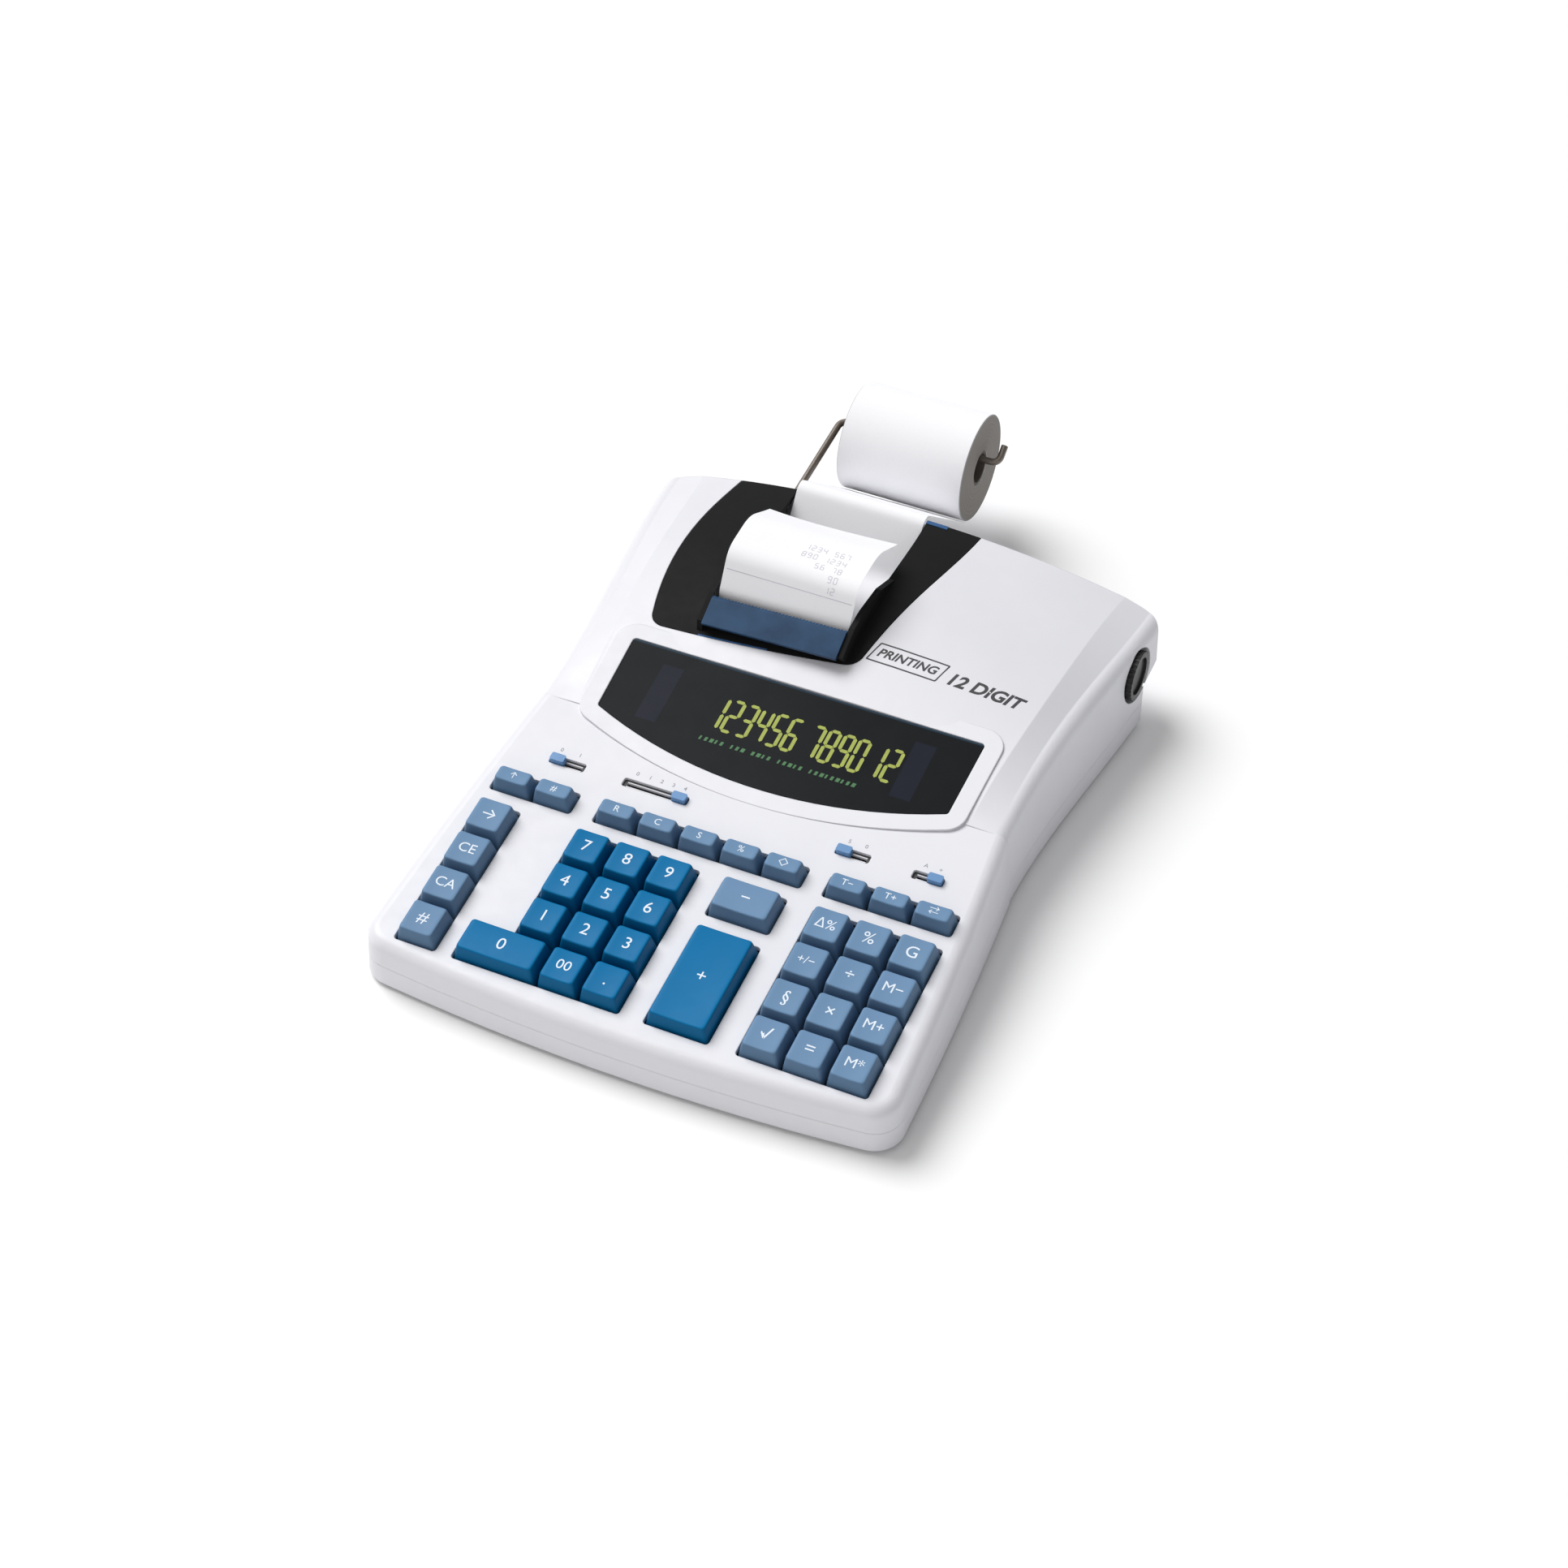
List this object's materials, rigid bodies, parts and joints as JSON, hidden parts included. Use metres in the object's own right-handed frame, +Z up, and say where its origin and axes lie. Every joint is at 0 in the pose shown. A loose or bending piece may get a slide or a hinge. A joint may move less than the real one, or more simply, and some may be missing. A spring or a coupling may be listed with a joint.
{
  "type": "desk calculator",
  "caption": "Desktop printing calculator with a tilted display, full keypad, slide switches, lift-off printer cover and a paper roll on a wire holder behind.",
  "frame": {"origin": "on the surface the feet stand on, under the middle of the overall width and of the length from the case's front to the back of the paper roll", "axes": "+X to the user's right, +Y away from the user, +Z up"},
  "size_m": [0.2246, 0.3684, 0.0769],
  "materials": {
    "housing": "light grey moulded plastic with a fine texture",
    "cover_black": "near-black moulded plastic, satin",
    "display_window": "smoked window, glossy",
    "tube_glass": "glass tube on a card, behind the window",
    "tear_bar": "smoked blue translucent plastic",
    "paper": "uncoated white paper",
    "wire_steel": "drawn steel wire",
    "knob_black": "black moulded plastic with grip grooves",
    "roller_rubber": "rubber roller on a steel shaft",
    "mechanism": "dark moulded frame",
    "board": "coated circuit board",
    "key_mat": "silicone dome mat",
    "feet_rubber": "soft rubber",
    "screw_steel": "zinc-plated steel",
    "keys_blue": "bright blue moulded plastic",
    "keys_slate": "slate blue moulded plastic",
    "switch_knob": "slate blue moulded plastic"
  },
  "bodies": {
    "case": {"upper_housing": "housing", "lower_housing": "housing", "display_window": "display_window", "display_tube": "tube_glass", "paper_tape": "paper", "roll_wire": "wire_steel", "printer_frame": "mechanism", "main_board": "board", "key_mat": "key_mat", "rubber_feet": "feet_rubber", "case_screws": "screw_steel"},
    "cover": {"printer_cover": "cover_black", "tear_bar": "tear_bar"},
    "roll": {"paper_roll": "paper"},
    "feed_shaft": {"feed_roller": "roller_rubber", "feed_knob": "knob_black"},
    "key_0_cap": {"key_0": "keys_blue"},
    "key_1_cap": {"key_1": "keys_blue"},
    "key_2_cap": {"key_2": "keys_blue"},
    "key_3_cap": {"key_3": "keys_blue"},
    "key_4_cap": {"key_4": "keys_blue"},
    "key_5_cap": {"key_5": "keys_blue"},
    "key_6_cap": {"key_6": "keys_blue"},
    "key_7_cap": {"key_7": "keys_blue"},
    "key_8_cap": {"key_8": "keys_blue"},
    "key_9_cap": {"key_9": "keys_blue"},
    "key_00_cap": {"key_00": "keys_blue"},
    "key_point_cap": {"key_point": "keys_blue"},
    "key_plus_cap": {"key_plus": "keys_blue"},
    "key_minus_cap": {"key_minus": "keys_slate"},
    "key_backspace_cap": {"key_backspace": "keys_slate"},
    "key_clear_entry_cap": {"key_clear_entry": "keys_slate"},
    "key_clear_all_cap": {"key_clear_all": "keys_slate"},
    "key_non_add_cap": {"key_non_add": "keys_slate"},
    "key_mark_up_cap": {"key_mark_up": "keys_slate"},
    "key_mark_down_cap": {"key_mark_down": "keys_slate"},
    "key_grand_total_cap": {"key_grand_total": "keys_slate"},
    "key_change_sign_cap": {"key_change_sign": "keys_slate"},
    "key_divide_cap": {"key_divide": "keys_slate"},
    "key_memory_minus_cap": {"key_memory_minus": "keys_slate"},
    "key_percent_cap": {"key_percent": "keys_slate"},
    "key_multiply_cap": {"key_multiply": "keys_slate"},
    "key_memory_plus_cap": {"key_memory_plus": "keys_slate"},
    "key_root_cap": {"key_root": "keys_slate"},
    "key_equals_cap": {"key_equals": "keys_slate"},
    "key_memory_recall_cap": {"key_memory_recall": "keys_slate"},
    "key_feed_cap": {"key_feed": "keys_slate"},
    "key_date_cap": {"key_date": "keys_slate"},
    "key_rate_cap": {"key_rate": "keys_slate"},
    "key_cost_cap": {"key_cost": "keys_slate"},
    "key_sell_cap": {"key_sell": "keys_slate"},
    "key_margin_cap": {"key_margin": "keys_slate"},
    "key_subtotal_cap": {"key_subtotal": "keys_slate"},
    "key_tax_minus_cap": {"key_tax_minus": "keys_slate"},
    "key_tax_plus_cap": {"key_tax_plus": "keys_slate"},
    "key_exchange_cap": {"key_exchange": "keys_slate"},
    "power_switch": {"power_switch_knob": "switch_knob"},
    "decimal_switch": {"decimal_switch_knob": "switch_knob"},
    "rounding_switch": {"rounding_switch_knob": "switch_knob"},
    "add_mode_switch": {"add_mode_switch_knob": "switch_knob"}
  },
  "joints": [
    {"name": "cover_lift", "type": "slide", "parent": "case", "child": "cover", "axis": [0, 0, 1], "range_m": [0, 0.03]},
    {"name": "roll_spin", "type": "hinge", "parent": "case", "child": "roll", "pos_m": [0, 0.1606, 0.039], "axis": [1, 0, 0], "continuous": true},
    {"name": "feed_spin", "type": "hinge", "parent": "case", "child": "feed_shaft", "pos_m": [0, 0.0745, 0.029], "axis": [1, 0, 0], "continuous": true},
    {"name": "key_0_press", "type": "slide", "parent": "case", "child": "key_0_cap", "axis": [0, 0.1219, -0.9925], "range_m": [0, 0.003], "stiffness_N_per_m": 250},
    {"name": "key_1_press", "type": "slide", "parent": "case", "child": "key_1_cap", "axis": [0, 0.1219, -0.9925], "range_m": [0, 0.003], "stiffness_N_per_m": 250},
    {"name": "key_2_press", "type": "slide", "parent": "case", "child": "key_2_cap", "axis": [0, 0.1219, -0.9925], "range_m": [0, 0.003], "stiffness_N_per_m": 250},
    {"name": "key_3_press", "type": "slide", "parent": "case", "child": "key_3_cap", "axis": [0, 0.1219, -0.9925], "range_m": [0, 0.003], "stiffness_N_per_m": 250},
    {"name": "key_4_press", "type": "slide", "parent": "case", "child": "key_4_cap", "axis": [0, 0.1219, -0.9925], "range_m": [0, 0.003], "stiffness_N_per_m": 250},
    {"name": "key_5_press", "type": "slide", "parent": "case", "child": "key_5_cap", "axis": [0, 0.1219, -0.9925], "range_m": [0, 0.003], "stiffness_N_per_m": 250},
    {"name": "key_6_press", "type": "slide", "parent": "case", "child": "key_6_cap", "axis": [0, 0.1219, -0.9925], "range_m": [0, 0.003], "stiffness_N_per_m": 250},
    {"name": "key_7_press", "type": "slide", "parent": "case", "child": "key_7_cap", "axis": [0, 0.1219, -0.9925], "range_m": [0, 0.003], "stiffness_N_per_m": 250},
    {"name": "key_8_press", "type": "slide", "parent": "case", "child": "key_8_cap", "axis": [0, 0.1219, -0.9925], "range_m": [0, 0.003], "stiffness_N_per_m": 250},
    {"name": "key_9_press", "type": "slide", "parent": "case", "child": "key_9_cap", "axis": [0, 0.1219, -0.9925], "range_m": [0, 0.003], "stiffness_N_per_m": 250},
    {"name": "key_00_press", "type": "slide", "parent": "case", "child": "key_00_cap", "axis": [0, 0.1219, -0.9925], "range_m": [0, 0.003], "stiffness_N_per_m": 250},
    {"name": "key_point_press", "type": "slide", "parent": "case", "child": "key_point_cap", "axis": [0, 0.1219, -0.9925], "range_m": [0, 0.003], "stiffness_N_per_m": 250},
    {"name": "key_plus_press", "type": "slide", "parent": "case", "child": "key_plus_cap", "axis": [0, 0.1219, -0.9925], "range_m": [0, 0.003], "stiffness_N_per_m": 250},
    {"name": "key_minus_press", "type": "slide", "parent": "case", "child": "key_minus_cap", "axis": [0, 0.1219, -0.9925], "range_m": [0, 0.003], "stiffness_N_per_m": 250},
    {"name": "key_backspace_press", "type": "slide", "parent": "case", "child": "key_backspace_cap", "axis": [0, 0.1219, -0.9925], "range_m": [0, 0.003], "stiffness_N_per_m": 250},
    {"name": "key_clear_entry_press", "type": "slide", "parent": "case", "child": "key_clear_entry_cap", "axis": [0, 0.1219, -0.9925], "range_m": [0, 0.003], "stiffness_N_per_m": 250},
    {"name": "key_clear_all_press", "type": "slide", "parent": "case", "child": "key_clear_all_cap", "axis": [0, 0.1219, -0.9925], "range_m": [0, 0.003], "stiffness_N_per_m": 250},
    {"name": "key_non_add_press", "type": "slide", "parent": "case", "child": "key_non_add_cap", "axis": [0, 0.1219, -0.9925], "range_m": [0, 0.003], "stiffness_N_per_m": 250},
    {"name": "key_mark_up_press", "type": "slide", "parent": "case", "child": "key_mark_up_cap", "axis": [0, 0.1219, -0.9925], "range_m": [0, 0.003], "stiffness_N_per_m": 250},
    {"name": "key_mark_down_press", "type": "slide", "parent": "case", "child": "key_mark_down_cap", "axis": [0, 0.1219, -0.9925], "range_m": [0, 0.003], "stiffness_N_per_m": 250},
    {"name": "key_grand_total_press", "type": "slide", "parent": "case", "child": "key_grand_total_cap", "axis": [0, 0.1219, -0.9925], "range_m": [0, 0.003], "stiffness_N_per_m": 250},
    {"name": "key_change_sign_press", "type": "slide", "parent": "case", "child": "key_change_sign_cap", "axis": [0, 0.1219, -0.9925], "range_m": [0, 0.003], "stiffness_N_per_m": 250},
    {"name": "key_divide_press", "type": "slide", "parent": "case", "child": "key_divide_cap", "axis": [0, 0.1219, -0.9925], "range_m": [0, 0.003], "stiffness_N_per_m": 250},
    {"name": "key_memory_minus_press", "type": "slide", "parent": "case", "child": "key_memory_minus_cap", "axis": [0, 0.1219, -0.9925], "range_m": [0, 0.003], "stiffness_N_per_m": 250},
    {"name": "key_percent_press", "type": "slide", "parent": "case", "child": "key_percent_cap", "axis": [0, 0.1219, -0.9925], "range_m": [0, 0.003], "stiffness_N_per_m": 250},
    {"name": "key_multiply_press", "type": "slide", "parent": "case", "child": "key_multiply_cap", "axis": [0, 0.1219, -0.9925], "range_m": [0, 0.003], "stiffness_N_per_m": 250},
    {"name": "key_memory_plus_press", "type": "slide", "parent": "case", "child": "key_memory_plus_cap", "axis": [0, 0.1219, -0.9925], "range_m": [0, 0.003], "stiffness_N_per_m": 250},
    {"name": "key_root_press", "type": "slide", "parent": "case", "child": "key_root_cap", "axis": [0, 0.1219, -0.9925], "range_m": [0, 0.003], "stiffness_N_per_m": 250},
    {"name": "key_equals_press", "type": "slide", "parent": "case", "child": "key_equals_cap", "axis": [0, 0.1219, -0.9925], "range_m": [0, 0.003], "stiffness_N_per_m": 250},
    {"name": "key_memory_recall_press", "type": "slide", "parent": "case", "child": "key_memory_recall_cap", "axis": [0, 0.1219, -0.9925], "range_m": [0, 0.003], "stiffness_N_per_m": 250},
    {"name": "key_feed_press", "type": "slide", "parent": "case", "child": "key_feed_cap", "axis": [0, 0.1219, -0.9925], "range_m": [0, 0.003], "stiffness_N_per_m": 250},
    {"name": "key_date_press", "type": "slide", "parent": "case", "child": "key_date_cap", "axis": [0, 0.1219, -0.9925], "range_m": [0, 0.003], "stiffness_N_per_m": 250},
    {"name": "key_rate_press", "type": "slide", "parent": "case", "child": "key_rate_cap", "axis": [0, 0.1219, -0.9925], "range_m": [0, 0.003], "stiffness_N_per_m": 250},
    {"name": "key_cost_press", "type": "slide", "parent": "case", "child": "key_cost_cap", "axis": [0, 0.1219, -0.9925], "range_m": [0, 0.003], "stiffness_N_per_m": 250},
    {"name": "key_sell_press", "type": "slide", "parent": "case", "child": "key_sell_cap", "axis": [0, 0.1219, -0.9925], "range_m": [0, 0.003], "stiffness_N_per_m": 250},
    {"name": "key_margin_press", "type": "slide", "parent": "case", "child": "key_margin_cap", "axis": [0, 0.1219, -0.9925], "range_m": [0, 0.003], "stiffness_N_per_m": 250},
    {"name": "key_subtotal_press", "type": "slide", "parent": "case", "child": "key_subtotal_cap", "axis": [0, 0.1219, -0.9925], "range_m": [0, 0.003], "stiffness_N_per_m": 250},
    {"name": "key_tax_minus_press", "type": "slide", "parent": "case", "child": "key_tax_minus_cap", "axis": [0, 0.1219, -0.9925], "range_m": [0, 0.003], "stiffness_N_per_m": 250},
    {"name": "key_tax_plus_press", "type": "slide", "parent": "case", "child": "key_tax_plus_cap", "axis": [0, 0.1219, -0.9925], "range_m": [0, 0.003], "stiffness_N_per_m": 250},
    {"name": "key_exchange_press", "type": "slide", "parent": "case", "child": "key_exchange_cap", "axis": [0, 0.1219, -0.9925], "range_m": [0, 0.003], "stiffness_N_per_m": 250},
    {"name": "power_switch_slide", "type": "slide", "parent": "case", "child": "power_switch", "axis": [1, 0, 0], "range_m": [0, 0.008]},
    {"name": "decimal_switch_slide", "type": "slide", "parent": "case", "child": "decimal_switch", "axis": [1, 0, 0], "range_m": [-0.0205, 0]},
    {"name": "rounding_switch_slide", "type": "slide", "parent": "case", "child": "rounding_switch", "axis": [1, 0, 0], "range_m": [0, 0.007]},
    {"name": "add_mode_switch_slide", "type": "slide", "parent": "case", "child": "add_mode_switch", "axis": [1, 0, 0], "range_m": [-0.0058, 0]}
  ],
  "couplings": [
    {"joint": "feed_spin", "follows": "roll_spin", "ratio": -3.6875}
  ]
}
